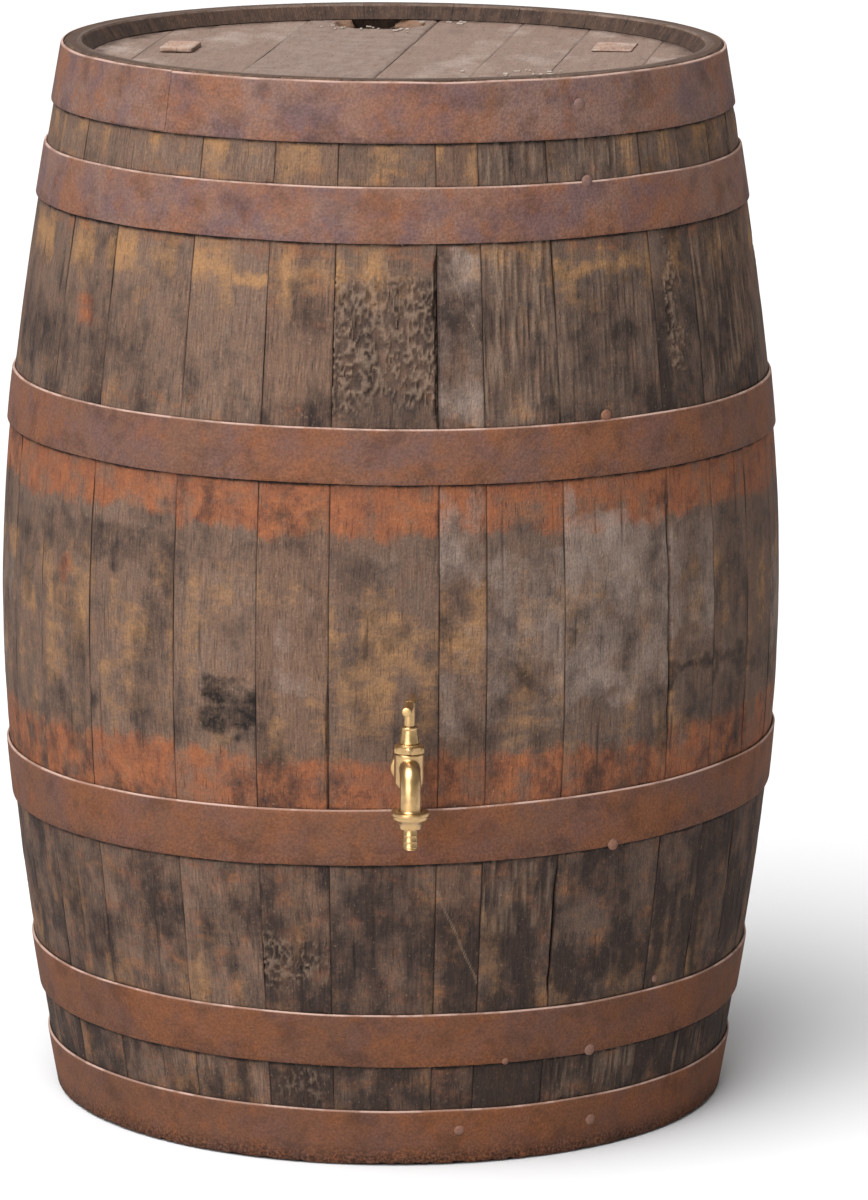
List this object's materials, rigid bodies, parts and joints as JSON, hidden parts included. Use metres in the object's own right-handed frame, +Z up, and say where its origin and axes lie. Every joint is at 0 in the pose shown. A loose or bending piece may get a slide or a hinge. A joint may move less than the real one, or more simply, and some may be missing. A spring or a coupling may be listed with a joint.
{
  "type": "oak cask rain butt",
  "caption": "Full-size oak cask stood on end with steel hoops, recessed heads, a downpipe hole in the top head, a bung and a brass bib tap with hose union.",
  "frame": {"origin": "on the floor under the middle of the overall box, tap and bung included; the cask's own axis stands 35.7 mm behind it, at x 0, y +0.0357", "axes": "+Z up the cask's axis, -Y out through the tap, +X to the right seen from the tap's side"},
  "size_m": [0.662, 0.746, 0.9],
  "materials": {
    "stave_oak": "weathered, rough sawn, stained brown and charcoal",
    "head_oak": "weathered light taupe",
    "hoop_steel": "evenly rusted, worn bright along the edges",
    "patch_wood": "pale bare wood",
    "bung_wood": "turned hardwood, greyed",
    "tap_brass": "cast and turned brass, lightly polished",
    "seal_rubber": "black moulded rubber"
  },
  "bodies": {
    "cask": {"stave_01": "stave_oak", "stave_02": "stave_oak", "stave_03": "stave_oak", "stave_04": "stave_oak", "stave_05": "stave_oak", "stave_06": "stave_oak", "stave_07": "stave_oak", "stave_08": "stave_oak", "stave_09": "stave_oak", "stave_10": "stave_oak", "stave_11": "stave_oak", "stave_12": "stave_oak", "stave_13": "stave_oak", "stave_14": "stave_oak", "stave_15": "stave_oak", "stave_16": "stave_oak", "stave_17": "stave_oak", "stave_18": "stave_oak", "stave_19": "stave_oak", "stave_20": "stave_oak", "stave_21": "stave_oak", "stave_22": "stave_oak", "stave_23": "stave_oak", "stave_24": "stave_oak", "stave_25": "stave_oak", "stave_26": "stave_oak", "stave_27": "stave_oak", "stave_28": "stave_oak", "top_head_board_1": "head_oak", "top_head_board_2": "head_oak", "top_head_board_3": "head_oak", "top_head_board_4": "head_oak", "top_head_board_5": "head_oak", "top_head_board_6": "head_oak", "top_head_board_7": "head_oak", "bottom_head_board_1": "head_oak", "bottom_head_board_2": "head_oak", "bottom_head_board_3": "head_oak", "bottom_head_board_4": "head_oak", "bottom_head_board_5": "head_oak", "bottom_head_board_6": "head_oak", "head_hoop_top": "hoop_steel", "quarter_hoop_top": "hoop_steel", "bilge_hoop_top": "hoop_steel", "bilge_hoop_bottom": "hoop_steel", "quarter_hoop_bottom": "hoop_steel", "head_hoop_bottom": "hoop_steel", "head_patch_left": "patch_wood", "head_patch_right": "patch_wood", "tap_body": "tap_brass", "tap_wall_washer": "seal_rubber", "tap_back_nut": "tap_brass", "tap_bonnet": "tap_brass", "tap_gland_nut": "tap_brass", "hose_union_nut": "tap_brass", "hose_tail": "tap_brass"},
    "jumper": {"tap_jumper": "tap_brass", "tap_jumper_washer": "seal_rubber"},
    "spindle": {"tap_spindle": "tap_brass"},
    "bung": {"bung": "bung_wood"}
  },
  "joints": [
    {"name": "jumper_rise", "type": "slide", "parent": "cask", "child": "jumper", "axis": [0, 0, 1], "range_m": [0, 0.005]},
    {"name": "handle_turn", "type": "hinge", "parent": "jumper", "child": "spindle", "pos_m": [0.01547, -0.33276, 0.4], "axis": [0, 0, 1], "range_deg": [0, 720]},
    {"name": "bung_pull", "type": "slide", "parent": "cask", "child": "bung", "axis": [0.0349, 0.9994, 0], "range_m": [0, 0.06]}
  ],
  "couplings": [
    {"joint": "handle_turn", "follows": "jumper_rise", "rad_per_m": 2513.3}
  ]
}
